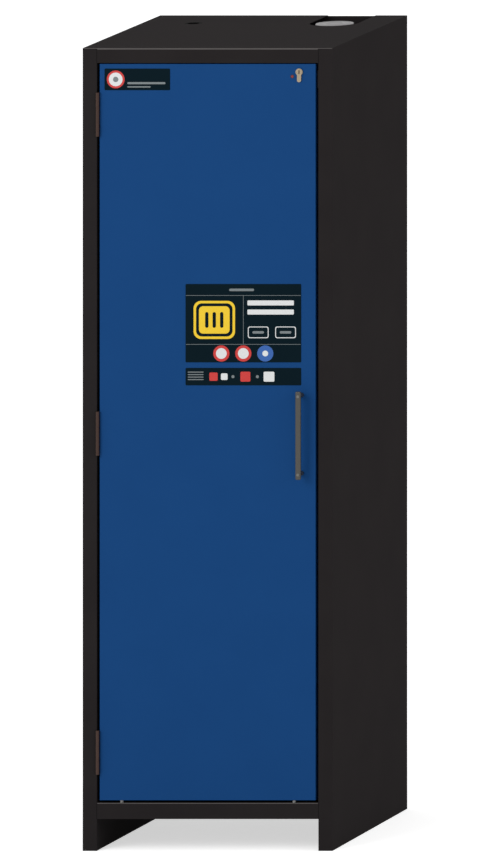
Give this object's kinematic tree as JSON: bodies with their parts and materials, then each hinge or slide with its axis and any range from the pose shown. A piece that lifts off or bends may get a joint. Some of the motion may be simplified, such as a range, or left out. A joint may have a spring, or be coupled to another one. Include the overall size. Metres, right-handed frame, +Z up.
{
  "type": "battery cabinet",
  "caption": "One-door fire-resistant battery storage and charging cabinet with shelves, sump tray, socket strip, key lock, exhaust connection and an open base for a pallet truck.",
  "frame": {"origin": "centre of the overall footprint, handle included, on the floor", "axes": "+X right as seen from the front, front faces -Y, +Z up"},
  "size_m": [0.603, 0.647, 1.938],
  "materials": {
    "frame_paint": "semi-gloss anthracite paint",
    "door_paint": "satin blue paint",
    "inner_steel": "light grey coated sheet",
    "fire_board": "mineral fire board",
    "seal": "matt black",
    "hinge_steel": "dark bronzed steel",
    "handle_metal": "dark grey",
    "fastener_steel": "zinc-plated",
    "lock_brass": "satin",
    "lamp_red": "gloss red",
    "buffer_plastic": "light grey",
    "cap_plastic": "mid grey",
    "valve_white": "white",
    "duct_steel": "galvanised",
    "black_plastic": "black"
  },
  "bodies": {
    "cabinet": {"side_panel_left": "frame_paint", "side_panel_right": "frame_paint", "back_panel": "frame_paint", "top_panel": "frame_paint", "top_rail": "frame_paint", "bottom_rail": "frame_paint", "base_panel": "frame_paint", "deck_sheet": "frame_paint", "liner_left": "inner_steel", "liner_right": "inner_steel", "liner_back": "inner_steel", "liner_ceiling": "inner_steel", "liner_floor": "inner_steel", "shelf_1": "inner_steel", "shelf_2": "inner_steel", "shelf_3": "inner_steel", "shelf_4": "inner_steel", "sump_tray": "inner_steel", "shelf_uprights": "inner_steel", "fire_board_left": "fire_board", "fire_board_right": "fire_board", "fire_board_back": "fire_board", "fire_board_top": "fire_board", "fire_board_bottom": "fire_board", "pocket_strips": "seal", "cable_grommet": "seal", "hinge_frame_leaves": "hinge_steel", "hinge_pins": "hinge_steel", "shelf_clips": "fastener_steel", "strike_plate": "fastener_steel", "sill_buffers": "buffer_plastic", "exhaust_valve": "valve_white", "supply_valve": "valve_white", "smoke_sensor": "valve_white", "exhaust_spigot": "duct_steel", "supply_duct": "duct_steel", "supply_grille": "duct_steel", "cable_conduit": "duct_steel", "socket_strip": "black_plastic"},
    "door": {"door_outer_skin": "door_paint", "door_core": "fire_board", "door_inner_skin": "inner_steel", "door_seal": "seal", "hinge_door_leaves": "hinge_steel", "handle_bar": "handle_metal", "handle_posts": "handle_metal", "handle_screws": "fastener_steel", "lock_cylinder": "lock_brass", "lock_case": "fastener_steel", "status_lamp": "lamp_red"},
    "plug": {"lock_plug": "lock_brass"},
    "bolt": {"lock_bolt": "fastener_steel"},
    "cap": {"exhaust_cap": "cap_plastic"}
  },
  "joints": [
    {"name": "door_hinge", "type": "hinge", "parent": "cabinet", "child": "door", "pos_m": [-0.264, -0.2965, 1.008], "axis": [0, 0, -1], "range_deg": [0, 95]},
    {"name": "lock_plug_turn", "type": "hinge", "parent": "door", "child": "plug", "pos_m": [0.2215, -0.2915, 1.8805], "axis": [0, -1, 0], "range_deg": [0, 90]},
    {"name": "lock_bolt_throw", "type": "slide", "parent": "door", "child": "bolt", "axis": [1, 0, 0], "range_m": [0, 0.012]},
    {"name": "exhaust_cap_lift", "type": "slide", "parent": "cabinet", "child": "cap", "axis": [0, 0, 1], "range_m": [0, 0.06]}
  ],
  "couplings": [
    {"joint": "lock_plug_turn", "follows": "lock_bolt_throw", "rad_per_m": 130.89}
  ]
}
